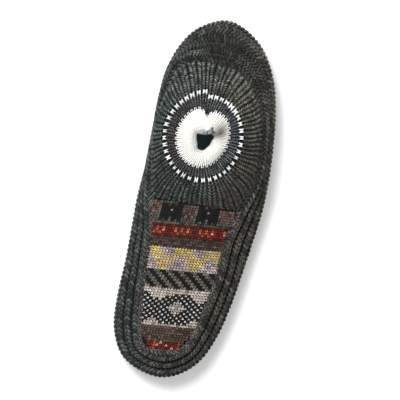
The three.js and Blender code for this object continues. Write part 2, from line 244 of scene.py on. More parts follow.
out_line = round_curve([(r["out_x"] * LENGTH, r["out_y"] * BALL_WIDTH / 2, 0) for r in SECTIONS])
seam_line = round_curve([
    (r["seam_x"] * LENGTH, r["seam_y"] * BALL_WIDTH / 2, r["seam_z"] * BAND_HEIGHT) for r in SECTIONS])
lean_line = round_curve([(r["lean"], 0, 0) for r in SECTIONS])


def inward(curve, place):
    along = curve(place + 0.05) - curve(place - 0.05)
    return unit(stack(-along[..., 1], along[..., 0], 0.0))


def slope(level, degrees):
    angle = np.radians(degrees)[..., None]
    return level * np.cos(angle) + np.array([0, 0, 1.0]) * np.sin(angle)


def bend(start, leave, end, arrive, share):
    share = np.asarray(share)[..., None]
    rest = 1 - share
    return (start * rest ** 3 + (start + leave) * 3 * rest ** 2 * share
            + (end - arrive) * 3 * rest * share ** 2 + end * share ** 3)


FOOT_Z = SOLE_THICKNESS + FIT_GAP
WALL_INSET = BAND_WALL + FIT_GAP


def plain_wall(place, height):
    place, height = paired(place, height)
    into = inward(out_line, place)
    up = np.array([0, 0, 1.0])
    bulge = out_line(place) + into * WALL_INSET + up * (FOOT_Z + BULGE_HEIGHT)
    foot = out_line(place) + into * (WALL_INSET + BAND_TUCK) + up * FOOT_Z
    third = BULGE_HEIGHT / 3
    low = bend(foot, slope(-into, np.full(place.shape, FOOT_SLOPE)) * third, bulge, up * third,
               np.clip(height / BULGE_SHARE, 0, 1))
    seam = seam_line(place)
    reach = np.linalg.norm(bulge - seam, axis=-1, keepdims=True) * SEAM_REACH
    high = bend(bulge, up * reach, seam,
                slope(inward(seam_line, place), lean_line(place)[..., 0]) * reach,
                np.clip((height - BULGE_SHARE) / (1 - BULGE_SHARE), 0, 1))
    return np.where((height < BULGE_SHARE)[..., None], low, high)


def fold_depth(place, height):
    """How many millimetres the heel's folds lie in at a place of the wall"""
    total = 0.0
    for fold in SOFT_FOLDS:
        away = np.mod(place - fold["section"] + TURN / 2, TURN) - TURN / 2
        total = total + fold["depth"] * BAND_WALL * np.exp(
            -(away / fold["along"]) ** 2 - ((height - fold["height"]) / fold["across"]) ** 2)
    return total


def wall(place, height, out):
    """Face of the upper's wall, moved out along its own normal, folds included"""
    place, height = paired(place, height)
    along = plain_wall(place + 0.04, height) - plain_wall(place - 0.04, height)
    rise = (plain_wall(place, np.minimum(height + 0.01, 1))
            - plain_wall(place, np.maximum(height - 0.01, 0)))
    normal = unit(np.cross(along, rise))
    level = -inward(out_line, place)
    normal = unit(mix(level, normal, np.clip(height / 0.04, 0, 1)[..., None]))
    point = plain_wall(place, height) + normal * (out - fold_depth(place, height))[..., None]
    point[..., 2] = np.maximum(point[..., 2], FOOT_Z)
    return point


def arch(across):
    return 1 - np.abs(2 * across - 1) ** 2.2


def throat(across):
    point = mix(seam_line(INNER_THROAT), seam_line(OUTER_THROAT), np.asarray(across)[..., None])
    point[..., 0] += THROAT_BOW * arch(across)
    point[..., 2] += INSTEP_RISE * arch(across)
    return point


def vamp(along, across):
    """Patch between throat, toe and the two seams, crowned less toward the toe"""
    along, across = paired(along, across)
    a, c = along[..., None], across[..., None]
    inner = seam_line(mix(INNER_THROAT, INNER_TOE, along))
    outer = seam_line(mix(OUTER_THROAT, OUTER_TOE, along))
    toe = seam_line(mix(INNER_TOE, OUTER_TOE, across))
    back = mix(seam_line(INNER_THROAT), seam_line(OUTER_THROAT), c)
    corners = back * (1 - a) + mix(seam_line(INNER_TOE), seam_line(OUTER_TOE), c) * a
    bowed = back + stack(THROAT_BOW * arch(across), 0.0, 0.0)
    point = bowed * (1 - a) + toe * a + mix(inner, outer, c) - corners
    point[..., 2] += INSTEP_RISE * arch(across) * (1 - along ** 5) * (1 - 0.4 * along)
    return point


RING_CENTRE = np.array([
    COLLAR_PLACE[0] * LENGTH, COLLAR_PLACE[1] * BALL_WIDTH / 2,
    SECTIONS[section_number("collar middle, inner")]["seam_z"] * BAND_HEIGHT + COLLAR_RISE])
MOUTH_CENTRE = RING_CENTRE + np.array([*MOUTH_PLACE, 0])


def oval(centre, lengthways, crossways, angle):
    radius = 0.5 * lengthways * crossways / np.hypot(
        crossways * np.cos(angle), lengthways * np.sin(angle))
    return centre + stack(radius * np.cos(angle), radius * np.sin(angle), 0.0)


def cleft(angle):
    away = np.mod(angle, 2 * math.pi) - math.pi
    return np.exp(-(away / CLEFT["half_angle"]) ** 2)


RING_SHRINK = 0.965            # the cuff is drawn in a little from its laid-out size


def angle_from(angle, degrees):
    """Angle from a direction given in degrees, by the shorter way round"""
    return np.mod(angle - math.radians(degrees) + math.pi, 2 * math.pi) - math.pi


def ring_point(angle):
    size = RING_SHRINK
    for lobe in LOBES:
        away = angle_from(angle, lobe["angle"])
        size = size + lobe["share"] * np.exp(-(away / math.radians(lobe["half_width"])) ** 2)
    return oval(RING_CENTRE, CUFF_LENGTH * size, CUFF_WIDTH * size, angle)


def collar_foot(column):
    """Foot of the collar: along the seam to the throat, over it, and back along the seam"""
    column = np.mod(np.asarray(column, float), COLUMNS)
    first = seam_line(mix(0, INNER_THROAT, np.clip(column / SIDE_COLUMNS, 0, 1)))
    front = throat(np.clip((column - SIDE_COLUMNS) / THROAT_COLUMNS, 0, 1))
    last = seam_line(mix(OUTER_THROAT, TURN, np.clip(
        (column - SIDE_COLUMNS - THROAT_COLUMNS) / SIDE_COLUMNS, 0, 1)))
    past_front = (column > SIDE_COLUMNS + THROAT_COLUMNS)[..., None]
    return np.where((column < SIDE_COLUMNS)[..., None], first, np.where(past_front, last, front))


def collar_angle(column):
    foot = collar_foot(column)
    return np.arctan2(foot[..., 1] - RING_CENTRE[1], foot[..., 0] - RING_CENTRE[0])


def side_blend(angle, name):
    end = np.where(np.cos(angle) < 0, COLLAR_SIDES["heel"][name], COLLAR_SIDES["front"][name])
    side = np.where(np.sin(angle) < 0, COLLAR_SIDES["inner"][name], COLLAR_SIDES["outer"][name])
    return mix(side, end, np.cos(angle) ** 2)


def ring_way(column):
    ring = ring_point(collar_angle(column))
    into = ring - collar_foot(column)
    into[..., 2] = 0
    return ring, unit(into)


def collar(column, height):
    column, height = paired(column, height)
    foot = collar_foot(column)
    angle = collar_angle(column)
    ring, into = ring_way(column)
    way = np.linalg.norm(foot - ring, axis=-1, keepdims=True)
    leave = slope(into, side_blend(angle, "rise")) * way * side_blend(angle, "reach")[..., None]
    arrive = slope(into, np.full(angle.shape, RING_LEAN)) * way * RING_REACH
    return bend(foot, leave, ring, arrive, height)


def spline(points, share):
    """Centripetal curve through a few points that are arrays alike, from the first to the last"""
    points = np.array(points)
    ends = [2 * points[0] - points[1], *points, 2 * points[-1] - points[-2]]
    place = np.clip(np.asarray(share, float), 0, 1) * (len(points) - 1)
    result = np.zeros(np.broadcast_shapes(points[0].shape, place.shape + (3,)))
    for first in range(len(points) - 1):
        value = curve_between(*ends[first:first + 4], (place - first)[..., None])
        here = ((place >= first) & ((place < first + 1) | (first == len(points) - 2)))[..., None]
        result = np.where(here, value, result)
    return result


mouth_reach = round_curve([(reach, 0, 0) for reach in MOUTH_REACH])


def cuff(column, share):
    column, share = paired(column, share)
    angle = collar_angle(column)
    ring, into = ring_way(column)
    rise = CUFF_RISE * (1 - CLEFT["drop"] * cleft(angle))
    radius = mouth_reach(angle / math.radians(30))[..., 0]
    centre = RING_CENTRE + np.array([MOUTH["x"], MOUTH["y"], 0])
    mouth = centre + stack(radius * np.cos(angle), radius * np.sin(angle), 0.0)
    neck = oval(MOUTH_CENTRE, MOUTH_LENGTH + 2 * CUFF_WALL, MOUTH_WIDTH + 2 * CUFF_WALL, angle)
    away = np.degrees(angle_from(angle, CREASE["angle"]))
    rise = rise - CREASE["depth"] * np.exp(-(away / CREASE["half_width"]) ** 2)

    def between(way, lift):
        point = mix(ring, mouth, way)
        point[..., 2] = RING_CENTRE[2] + lift * rise
        return point
    mouth[..., 2] = RING_CENTRE[2] - 0.25 * NECK_DEPTH
    neck[..., 2] = RING_CENTRE[2] - NECK_DEPTH
    start = ring + slope(into, np.full(angle.shape, RING_LEAN)) * FIT_GAP
    return spline([start, between(0.24, 0.62), between(0.52, 1.0), between(0.8, 0.82), mouth, neck],
                  share)


def ground_lift(x):
    share = x / LENGTH
    waist = np.sin(math.pi * np.clip((share - 0.3) / 0.26, 0, 1)) ** 2
    return ARCH_LIFT * waist + TOE_SPRING * np.clip((share - 0.84) / 0.16, 0, 1) ** 2


def placed(points):
    """From the slipper's own millimetres to the frame's metres"""
    points = np.array(points, float)
    points[..., 2] += ground_lift(points[..., 0])
    return (points + np.array([HEEL_X, AXIS_Y, 0])) * MM


# Faces to knit on. A net is a grid of points whose wrap coordinates run from 0 to 1 each way.

def faces_of(rows, columns, start=0):
    numbers = start + np.arange(rows * columns).reshape(rows, columns)
    return np.stack([numbers[:-1, :-1], numbers[:-1, 1:], numbers[1:, 1:], numbers[1:, :-1]],
                    axis=-1).reshape(-1, 4)


def net_normals(grid, closed=False):
    along_u = np.gradient(grid, axis=1)
    if closed:
        along_u[:, 0] = along_u[:, -1] = grid[:, 1] - grid[:, -2]
    return unit(np.cross(along_u, np.gradient(grid, axis=0)))


def add_object(name, data):
    piece = bpy.data.objects.new(name, data)
    bpy.context.scene.collection.objects.link(piece)
    return piece


def add_mesh(name, points, faces):
    mesh = bpy.data.meshes.new(name)
    mesh.from_pydata(np.asarray(points).reshape(-1, 3).tolist(), [], [list(f) for f in faces])
    mesh.validate()
    return add_object(name, mesh)


def keep_vectors(mesh, label, values):
    layer = mesh.attributes.new(label, "FLOAT_VECTOR", "POINT")
    layer.data.foreach_set("vector", np.asarray(values, np.float32).reshape(-1))


def add_net(name, grid, wrap=None, closed=False):
    rows, columns = grid.shape[:2]
    net = add_mesh(name, grid, faces_of(rows, columns))
    if wrap is None:
        u, v = np.meshgrid(np.linspace(0, 1, columns), np.linspace(0, 1, rows))
        wrap = stack(u, v, 0.0)
    keep_vectors(net.data, "wrap", wrap)
    keep_vectors(net.data, "out", net_normals(grid, closed))
    return net


def add_shell(name, grid, outer, inner, closed=False):
    """Closed layer of cloth between two distances from a net of points, in millimetres"""
    normals = net_normals(grid, closed)
    rows, columns = grid.shape[:2]
    if closed:
        grid, normals = grid[:, :-1], normals[:, :-1]
        columns -= 1
    points = np.concatenate([grid + normals * outer * MM, grid + normals * inner * MM])
    points = points.reshape(2, rows, columns, 3)
    numbers = np.arange(2 * rows * columns).reshape(2, rows, columns)
    if closed:
        numbers = np.concatenate([numbers, numbers[:, :, :1]], axis=2)

    def quads(a, b):
        return np.stack([a[..., :-1], a[..., 1:], b[..., 1:], b[..., :-1]], axis=-1).reshape(-1, 4)
    top, under = numbers
    faces = [quads(top[:-1], top[1:]), quads(under[:-1], under[1:])[:, ::-1],
             quads(under[0], top[0]), quads(top[-1], under[-1])]
    if not closed:
        faces += [quads(top[:, 0], under[:, 0]), quads(under[:, -1], top[:, -1])]
    return add_mesh(name, points, np.concatenate(faces))


# Stitches. A template is one stitch wide and one row high, and only its height has a real size.

def add_stitch(name, leg, flip=(-1, 1), sides=6):
    """A leg of yarn and its mirror image, as tapered tubes. Each point of a leg has its x, y, height,
    half width and half height, and both heights are in millimetres"""
    points, faces, uvs = [], [], []
    turn = np.arange(sides) * 2 * math.pi / sides
    leg = np.array(leg, float) * [1, 1, MM, 1, MM]
    for tube in (leg, leg * [*flip, 1, 1, 1]):
        base = len(points)
        ways = unit(np.gradient(tube[:, :2], axis=0))
        for (x, y, height, wide, high), (way_x, way_y) in zip(tube, ways):
            for angle in turn:
                out = math.cos(angle) * wide
                points.append((x - way_y * out, y + way_x * out, height + math.sin(angle) * high))
        rings = len(tube)
        for ring in range(rings - 1):
            for side in range(sides):
                after = (side + 1) % sides
                low, top = base + ring * sides, base + (ring + 1) * sides
                faces.append((low + side, top + side, top + after, low + after))
                v0, v1 = ring / (rings - 1), (ring + 1) / (rings - 1)
                u0, u1 = side / sides, (side + 1) / sides
                uvs += [(u0, v0), (u0, v1), (u1, v1), (u1, v0)]
        faces.append(tuple(base + side for side in range(sides)))
        faces.append(tuple(base + (rings - 1) * sides + side for side in reversed(range(sides))))
        uvs += [(side / sides, 0.0) for side in range(sides)]
        uvs += [(side / sides, 1.0) for side in reversed(range(sides))]
    mesh = bpy.data.meshes.new(name)
    mesh.from_pydata(points, [], faces)
    layer = mesh.uv_layers.new(name="yarn_path")
    layer.data.foreach_set("uv", np.array(uvs, np.float32).reshape(-1))
    return add_object(name, mesh)


def add_nodes(tree, kind, **settings):
    """A node of a kind with its settings, and its inputs set or linked by name"""
    node = tree.nodes.new(kind)
    inputs = settings.pop("inputs", {})
    for key, value in settings.items():
        setattr(node, key, value)
    for key, value in inputs.items():
        socket = socket_of(node.inputs, key)
        if isinstance(value, bpy.types.NodeSocket):
            tree.links.new(value, socket)
        else:
            socket.default_value = value
    return node


def socket_of(sockets, key):
    if isinstance(key, int):
        return sockets[key]
    return next(s for s in sockets if s.name == key and s.enabled)


NET_EDGE = 0.0004              # stitches end this far inside a net's edge
BAND_OVERLAP = 0.02            # part of a turn that the band's nets run past their own start


def knit_tree():
    """Sets a stitch on every point of a flat layout and wraps the layout over a face"""
    tree = bpy.data.node_groups.new("knit_on_a_face", "GeometryNodeTree")

    def socket(name, kind, way="INPUT", value=None):
        made = tree.interface.new_socket(name=name, in_out=way, socket_type=kind)
        if value is not None:
            made.default_value = value
    socket("Layout", "NodeSocketGeometry")
    socket("Face", "NodeSocketObject")
    socket("Stitch", "NodeSocketObject")
    socket("Yarn", "NodeSocketMaterial")
    socket("Uneven", "NodeSocketFloat", value=0.1)
    socket("Overlap", "NodeSocketFloat", value=0.0)
    socket("Seed", "NodeSocketInt", value=3)
    socket("Knitting", "NodeSocketGeometry", "OUTPUT")
    given = tree.nodes.new("NodeGroupInput").outputs
    face = add_nodes(tree, "GeometryNodeObjectInfo", inputs={"Object": given["Face"]})
    stitch = add_nodes(tree, "GeometryNodeObjectInfo", inputs={"Object": given["Stitch"]})

    def attribute(name):
        return add_nodes(tree, "GeometryNodeInputNamedAttribute", data_type="FLOAT_VECTOR",
                         inputs={"Name": name}).outputs["Attribute"]

    def vector_math(operation, a, b):
        return add_nodes(tree, "ShaderNodeVectorMath", operation=operation, inputs={0: a, 1: b})

    def math_node(operation, a, b):
        return add_nodes(tree, "ShaderNodeMath", operation=operation, inputs={0: a, 1: b}).outputs[0]
    low = math_node("SUBTRACT", 1.0, given["Uneven"])
    high = math_node("ADD", 1.0, given["Uneven"])
    random = add_nodes(tree, "FunctionNodeRandomValue", data_type="FLOAT_VECTOR",
                       inputs={"Min": low, "Max": high, "Seed": given["Seed"]})
    size = vector_math("MULTIPLY", attribute("size"), random.outputs["Value"])
    loops = add_nodes(tree, "GeometryNodeInstanceOnPoints", inputs={
        "Points": given["Layout"], "Instance": stitch.outputs["Geometry"],
        "Scale": size.outputs["Vector"]})
    whole = add_nodes(tree, "GeometryNodeRealizeInstances", inputs={
        "Geometry": loops.outputs["Instances"]})
    position = add_nodes(tree, "GeometryNodeInputPosition").outputs["Position"]
    parts = add_nodes(tree, "ShaderNodeSeparateXYZ", inputs={"Vector": position})
    start = math_node("SUBTRACT", NET_EDGE, given["Overlap"])
    end = math_node("ADD", 1 - NET_EDGE, given["Overlap"])
    round_way = add_nodes(tree, "ShaderNodeClamp", inputs={
        "Value": parts.outputs["X"], "Min": start, "Max": end})
    up_way = add_nodes(tree, "ShaderNodeClamp", inputs={
        "Value": parts.outputs["Y"], "Min": NET_EDGE, "Max": 1 - NET_EDGE})
    flat = add_nodes(tree, "ShaderNodeCombineXYZ", inputs={
        "X": round_way.outputs[0], "Y": up_way.outputs[0]})

    def on_face(value):
        return add_nodes(tree, "GeometryNodeSampleUVSurface", data_type="FLOAT_VECTOR", inputs={
            "Mesh": face.outputs["Geometry"], "Value": value, "UV Map": attribute("wrap"),
            "Sample UV": flat.outputs["Vector"]}).outputs["Value"]
    lift = add_nodes(tree, "ShaderNodeVectorMath", operation="SCALE", inputs={
        0: on_face(attribute("out")), "Scale": parts.outputs["Z"]})
    place = vector_math("ADD", on_face(position), lift.outputs["Vector"])
    wrapped = add_nodes(tree, "GeometryNodeSetPosition", inputs={
        "Geometry": whole.outputs["Geometry"], "Position": place.outputs["Vector"]})
    smooth = add_nodes(tree, "GeometryNodeSetShadeSmooth", inputs={
        "Geometry": wrapped.outputs["Geometry"]})
    dyed = add_nodes(tree, "GeometryNodeSetMaterial", inputs={
        "Geometry": smooth.outputs["Geometry"], "Material": given["Yarn"]})
    result = tree.nodes.new("NodeGroupOutput")
    tree.links.new(dyed.outputs["Geometry"], result.inputs["Knitting"])
    return tree


KNIT = knit_tree()


def knit(name, face, stitch, yarn, stitches, uneven=0.08, overlap=0.0, seed=3):
    """Knits stitches, each (u, v, width, height, thickness, colour), on a net"""
    places = np.array([(u, v, 0.0) for u, v, *_ in stitches])
    layout = add_mesh(name + "_layout", places, [])
    keep_vectors(layout.data, "size", [stitch_size[2:5] for stitch_size in stitches])
    dye = layout.data.attributes.new("yarn", "FLOAT_COLOR", "POINT")
    dye.data.foreach_set("color", np.array([row[5] for row in stitches], np.float32).reshape(-1))
    modifier = layout.modifiers.new("knit", "NODES")
    modifier.node_group = KNIT
    values = {"Face": face, "Stitch": stitch, "Yarn": yarn, "Uneven": uneven, "Overlap": overlap,
              "Seed": seed}
    for item in KNIT.interface.items_tree:
        if item.name in values:
            modifier[item.identifier] = values[item.name]
    bpy.context.view_layer.update()
    depsgraph = bpy.context.evaluated_depsgraph_get()
    mesh = bpy.data.meshes.new_from_object(layout.evaluated_get(depsgraph), depsgraph=depsgraph)
    mesh.name = name
    piece = add_object(name, mesh)
    bpy.data.objects.remove(layout)
    return piece


# Colours and yarns

def linear(code):
    """sRGB hex, as read off a colour picker, to a linear colour"""
    parts = [int(code[i:i + 2], 16) / 255 for i in (0, 2, 4)]
    return (*[p / 12.92 if p <= 0.04045 else ((p + 0.055) / 1.055) ** 2.4 for p in parts], 1.0)


def yarn_material(name, marl=0.25, marl_mm=1.4, fuzz=0.1, roughness=0.9, spread=0.2):
    """Spun wool: colour of each stitch, mottled by its own fibres, plied and hairy"""
    material = bpy.data.materials.new(name)
    material.use_nodes = True
    tree = material.node_tree
    tree.nodes.clear()
    dye = add_nodes(tree, "ShaderNodeAttribute", attribute_name="yarn").outputs["Color"]
    where = add_nodes(tree, "ShaderNodeTexCoord").outputs["Object"]
    path = add_nodes(tree, "ShaderNodeUVMap", uv_map="yarn_path").outputs["UV"]
    mottle = add_nodes(tree, "ShaderNodeTexNoise", inputs={
        "Vector": where, "Scale": 1 / (marl_mm * MM), "Detail": 3.0, "Roughness": 0.7})
    strength = add_nodes(tree, "ShaderNodeMapRange", inputs={
        "Value": mottle.outputs["Fac"], "From Min": 0.5 - spread, "From Max": 0.5 + spread,
        "To Min": 1 - marl, "To Max": 1 + marl})
    shade = add_nodes(tree, "ShaderNodeVectorMath", operation="SCALE", inputs={
        0: dye, "Scale": strength.outputs["Result"]})
    plies = add_nodes(tree, "ShaderNodeTexWave", wave_type="BANDS", bands_direction="DIAGONAL",
                      inputs={"Vector": path, "Scale": 2.0, "Distortion": 1.0, "Detail": 1.0})
    fibres = add_nodes(tree, "ShaderNodeTexNoise", inputs={
        "Vector": where, "Scale": 1 / (0.25 * MM), "Detail": 2.0})
    twist = add_nodes(tree, "ShaderNodeBump", inputs={
        "Strength": 0.35, "Distance": 0.3 * MM, "Height": plies.outputs["Fac"]})
    hair = add_nodes(tree, "ShaderNodeBump", inputs={
        "Strength": 0.5, "Distance": 0.15 * MM, "Height": fibres.outputs["Fac"],
        "Normal": twist.outputs["Normal"]})
    shader = add_nodes(tree, "ShaderNodeBsdfPrincipled", inputs={
        "Base Color": shade.outputs["Vector"], "Normal": hair.outputs["Normal"],
        "Roughness": roughness, "Sheen Weight": fuzz, "Sheen Roughness": 0.5,
        "Specular IOR Level": 0.12})
    add_nodes(tree, "ShaderNodeOutputMaterial", inputs={"Surface": shader.outputs["BSDF"]})
    return material


def plain_material(name, code, roughness=0.95):
    material = bpy.data.materials.new(name)
    material.use_nodes = True
    shader = material.node_tree.nodes["Principled BSDF"]
    shader.inputs["Base Color"].default_value = linear(code)
    shader.inputs["Roughness"].default_value = roughness
    shader.inputs["Specular IOR Level"].default_value = 0.1
    return material


# Fine wool, dark and pale fibres spun together: the eye sees flecks along each rib, and no gloss.
# Fibres are 0.02 mm and too fine to show, so every yarn's hair is drawn as a 0.25 mm grain
UPPER_WOOL = yarn_material("wool_marl_fine", marl=0.45, marl_mm=1.2, spread=0.13)
# The same weight of wool, dyed in the piece: even colours with a little cloudiness
CHART_WOOL = yarn_material("wool_dyed_fine", marl=0.14, marl_mm=1.2)
# Thick loosely plied wool of charcoal and grey: strong flecks, matt and rough
BAND_WOOL = yarn_material("wool_marl_chunky", marl=0.75, marl_mm=1.5, spread=0.12)
# Soft brushed acrylic: almost no flecks, and a halo of hairs that brightens its edges
CREAM_YARN = yarn_material("acrylic_cream_brushed", marl=0.02, marl_mm=1.5, fuzz=0.4, roughness=0.8)
# Thick wool of the sole, plied from two greys: broad soft flecks
SOLE_WOOL = yarn_material("wool_marl_sole", marl=0.3, marl_mm=2.6)
# Backs of the knitting, which show only as the dark between two stitches. Both are darker than their
# yarns: painted shade for the gaps
GREY_BACKING_SHADED = plain_material("wool_back_of_knitting_painted_shade", "181a19")
CREAM_BACKING_SHADED = plain_material("acrylic_back_of_knitting_painted_shade", "cfcabb")
LINING_CLOTH = plain_material("wool_floats_inside", "262625")
# Pressed wool felt: quite matt, blue-grey in the little that shows through the mouth
FELT = plain_material("wool_felt_slate", "86a6ae")

# One leg runs from under the row below, over the middle of its own row, to under the next
V_STITCH = add_stitch("stitch_v", [
    (0.08, -0.66, -0.7, 0.08, 0.2), (0.16, -0.32, 0.2, 0.15, 0.42), (0.25, 0.03, 0.5, 0.17, 0.5),
    (0.33, 0.34, 0.2, 0.14, 0.42), (0.37, 0.62, -0.7, 0.08, 0.2)])
RIB_STITCH = add_stitch("stitch_rib", [
    (0.1, -0.62, -0.6, 0.05, 0.2), (0.17, -0.3, 0.15, 0.11, 0.42), (0.25, 0.03, 0.45, 0.135, 0.5),
    (0.33, 0.34, 0.15, 0.11, 0.42), (0.38, 0.6, -0.6, 0.05, 0.2)])
PAIR_STITCH = add_stitch("stitch_pair", [
    (0.3, -0.56, -0.4, 0.09, 0.2), (0.21, -0.28, 0.3, 0.15, 0.5), (0.17, 0.02, 0.6, 0.18, 0.6),
    (0.22, 0.3, 0.3, 0.15, 0.5), (0.33, 0.58, -0.4, 0.09, 0.2)])
TALL_STITCH = add_stitch("stitch_tall", [
    (0.17, -0.62, -0.4, 0.07, 0.2), (0.21, -0.3, 0.25, 0.13, 0.5), (0.26, 0.05, 0.5, 0.15, 0.55),
    (0.3, 0.36, 0.25, 0.13, 0.5), (0.3, 0.62, -0.4, 0.07, 0.2)])
# A plaited stitch lies across its row, so its two legs mirror each other the other way
BRAID_STITCH = add_stitch("stitch_braid", [
    (-0.66, 0.02, -0.6, 0.09, 0.2), (-0.36, 0.1, 0.0, 0.15, 0.4), (0.02, 0.22, 0.15, 0.17, 0.45),
    (0.38, 0.36, 0.0, 0.15, 0.4), (0.66, 0.46, -0.6, 0.09, 0.2)], flip=(1, -1))


def path_lengths(grid, axis):
    steps = np.linalg.norm(np.diff(grid, axis=axis), axis=-1)
    return steps.sum(axis=axis)


def shade(colour, amount):
    return (*[part * amount for part in colour[:3]], 1.0)


def varied(middle, spread, low, high):
    """How light one stitch is: a draw round the middle, kept between two ends"""
    return float(np.clip(middle + spread * rng.standard_normal(), low, high))


def blended(a, b, share):
    return tuple(mix(x, y, share) for x, y in zip(a, b))


# Vamp: chart of the pattern, rows counted from the throat to the toe. Each band has its first row,
# a column that its repeat starts from, and its rows. An x is a lattice of white and black stitches.
# Columns and rows of stitches to a pixel of the photograph, across the slipper and along it
VAMP_COLUMN = (1 / MM_PER_PIXEL * 0.335, 1 / MM_PER_PIXEL * 0.031)
VAMP_ROW = (1 / MM_PER_PIXEL * 0.032, 1 / MM_PER_PIXEL * 0.391)
CHART_ORIGIN = (MM_PER_PIXEL * (PHOTO_PIXELS / 2 - 8.6), 0.3)
CHART_COLUMNS = (-22, 22)
CHART_ROWS = (-12, 66)
DYES = {
    "k": "161514", "t": "5d4c43", "T": "4a3d36", "p": "755a50", "g": "504e48", "v": "93818f",
    "r": "6b211a", "R": "4c1511", "o": "9c5230", "a": "cf9763", "b": "43352d", "B": "554439",
    "l": "b6a6a3", "L": "8f8288", "y": "c9b171", "n": "c3ad7f", "d": "69655d", "w": "bfb5ab",
    "W": "c4c1bd", "q": "b98678", "u": "524c50", "h": "8a7c72",
}
CHART = [
    (-3, -9, ["ggggggggtptg", "gggggggptpTp", "kkgkgkkTptpt", "kkkkkkkptTpt", "kkkvkkktptTp",
              "kkkkkkkptptp", "kkkkkkkTptpt", "kkkgkkkgtgpg", "kgkgkgkggggg", "gtgtgtgtgtgt"]),
    (7, -3, ["RRRRrRRr", "orororrr", "arorarRr", "rororrrr", "rRRRrRRR"]),
    (12, 0, ["bBTb", "TbbB", "BbtB", "bBbb"]),
    (16, -9, ["yynllLllny", "yyynlllLny", "nyyynlllyy", "lnyyynlyyn", "llnyyyyynl",
              "lLlnyyynll", "LllnyyynlL", "lllnyyylll", "llLlnynlll"]),
    (25, 0, ["kkdd", "dkkd", "ddkk", "kddk", "kkdd", "dkkd", "ddkk"]),
    (32, 0, ["wwhw", "wwww"]),
    (34, -2, ["wwwwxxxxxxwww", "wwxxxxxxxxxww", "wxxxxxxxxxxxx", "xxxxxxwxxxxxx",
              "xxxxxwwwxxxxx", "xxxxwwwwwxxxx", "xxxxxwwwxxxxx", "xxxxxxwxxxxxx",
              "xxxxxxxxxxxxx", "xxxxxxxxxxxxx", "wxxxxxxxxxxxw", "wwxxxxxxxxxww"]),
    (46, 0, ["wwhw"]),
    (47, 0, ["tTtt", "TtTt", "ttTt", "tTtT", "TttT", "tTtt"]),
    (53, -6, ["qrRrrRor", "rrqrrroq", "rrRrqroR", "RurRrrqR", "uRrRuRuR"]),
]
VAMP_STEPS = (120, 80)         # points of the vamp's net, along and across


def chart_place(points):
    """Column and row of the chart at a point of the vamp, seen from above"""
    along = points[..., 0] - CHART_ORIGIN[0]
    across = points[..., 1] - CHART_ORIGIN[1]
    return (VAMP_COLUMN[0] * across + VAMP_COLUMN[1] * along,
            VAMP_ROW[0] * across + VAMP_ROW[1] * along)


def share_of(value, ends):
    return (value - ends[0]) / (ends[1] - ends[0])


def dye_at(column, row):
    for top, anchor, rows in CHART:
        if top <= row < top + len(rows):
            text = rows[row - top]
            dye = text[(column - anchor) % len(text)]
            if dye == "x":
                dye = "W" if (column + row) % 2 == 0 else "k"
            return dye
    return "g" if row < 0 else "u"


def is_inside(x, y, outline):
    """True where a point lies inside a closed line of points, by counting crossings"""
    after = np.roll(outline, -1, axis=0)
    x0, y0, x1, y1 = outline[:, 0], outline[:, 1], after[:, 0], after[:, 1]
    crosses = (y0 > y) != (y1 > y)
    where = x0 + (y - y0) * (x1 - x0) / np.where(y1 == y0, 1e-9, y1 - y0)
    return bool(np.count_nonzero(crosses & (x < where)) % 2)


def make_vamp():
    along, across = np.meshgrid(np.linspace(-0.06, 1.08, VAMP_STEPS[0]),
                                np.linspace(1.08, -0.08, VAMP_STEPS[1]), indexing="ij")
    points = vamp(along, across)
    column, row = chart_place(points)
    wrap = stack(share_of(column, CHART_COLUMNS), share_of(row, CHART_ROWS), 0.0)
    net = add_net("net_vamp", placed(points), wrap)
    shell = add_shell("vamp_ground", placed(vamp(*np.meshgrid(
        np.linspace(0, 1, 40), np.linspace(1, 0, 30), indexing="ij"))), -0.7, -2.3)
    edge = np.linspace(0, 1, 60)
    outline = np.concatenate([vamp(edge, 0 * edge), vamp(0 * edge + 1, edge),
                              vamp(edge[::-1], 0 * edge + 1), vamp(0 * edge, edge[::-1])])
    border = np.stack(chart_place(outline), axis=-1)
    net_ends = [np.concatenate([line[0], line[:, -1], line[-1, ::-1], line[::-1, 0]])
                for line in (column, row)]
    net_border = np.stack(net_ends, axis=-1)
    stitches = []
    width = 1 / (CHART_COLUMNS[1] - CHART_COLUMNS[0])
    height = 1 / (CHART_ROWS[1] - CHART_ROWS[0])
    for r in range(CHART_ROWS[0] + 2, CHART_ROWS[1] - 2):
        for c in range(CHART_COLUMNS[0] + 2, CHART_COLUMNS[1] - 2):
            corners = [(c + side, r + end) for side in (-0.55, 0.55) for end in (-0.75, 0.75)]
            if not is_inside(c, r, border) or not all(is_inside(*at, net_border) for at in corners):
                continue
            dye = dye_at(c, r)
            streaks = 0.34 if dye in "tTpbBgd" else 0.2
            colour = shade(linear(DYES[dye]), varied(1, streaks, 0.4, 1.9))
            if dye == "y" and rng.random() < 0.1:
                colour = linear(DYES["l"])
            size = {"W": 0.68, "v": 0.8, "a": 0.85, "l": 0.93, "y": 0.95}.get(dye, 1.0)
            stitches.append((share_of(c, CHART_COLUMNS), share_of(r, CHART_ROWS),
                             width * size, height * size, 1.0, colour))
    piece = knit("vamp_knit", net, V_STITCH, CHART_WOOL, stitches)
    return [piece, shell]


# Collar: ribs from the seam up to a white round, then a dark ring up to the cuff
JOG_COLUMN = 2
GREY_BLUE = linear("585b60")
GREY_WARM = linear("4b4844")
WHITE = linear("e4e8e8")
CREAM = linear("fffffd")
CREASE_SHADE = linear("4a3a10")
HOLLOW_SHADE = linear("7d8a84")
MOUTH_SHADE = linear("1e3038")
HOLE_SHADE = linear("343a38")
